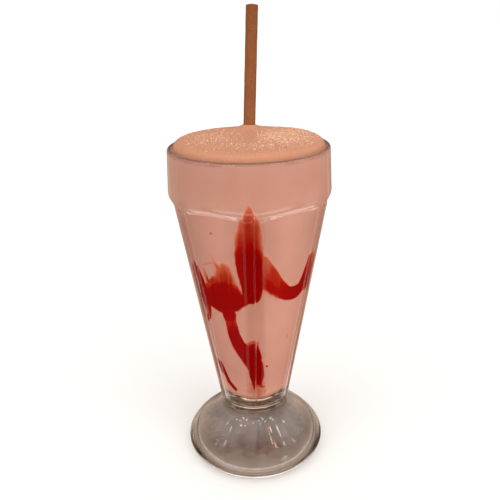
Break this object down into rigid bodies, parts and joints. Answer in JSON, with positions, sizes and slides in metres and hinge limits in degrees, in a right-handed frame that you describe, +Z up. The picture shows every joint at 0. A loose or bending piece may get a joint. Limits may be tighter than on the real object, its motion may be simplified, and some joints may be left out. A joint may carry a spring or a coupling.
{
  "type": "milkshake in a footed soda glass",
  "caption": "Pink milkshake in a clear footed soda glass with flat panels, frothed above the rim, with red syrup run down inside the wall and a brown paper straw.",
  "frame": {"origin": "on the table under the middle of the glass's foot; the straw leans a little past the back of the rim, so the box's bottom centre is within about 1.3 mm of it", "axes": "+Z up along the glass's axis; -Y is the side that the picture shows; +X is to the right in the picture"},
  "size_m": [0.0908, 0.0933, 0.2658],
  "materials": {
    "clear_glass": "clear pressed soda-lime glass, fire polished",
    "pink_shake": "opaque frothy shake, satin, with small bubbles on top",
    "red_syrup": "dark red strawberry syrup, thinning to orange pink at its edges",
    "straw_paper": "brown spiral-wound paper, matte"
  },
  "bodies": {
    "root": {"glass": "clear_glass", "shake": "pink_shake", "syrup_front": "red_syrup", "syrup_streak": "red_syrup", "syrup_back": "red_syrup", "straw": "straw_paper"}
  },
  "joints": []
}
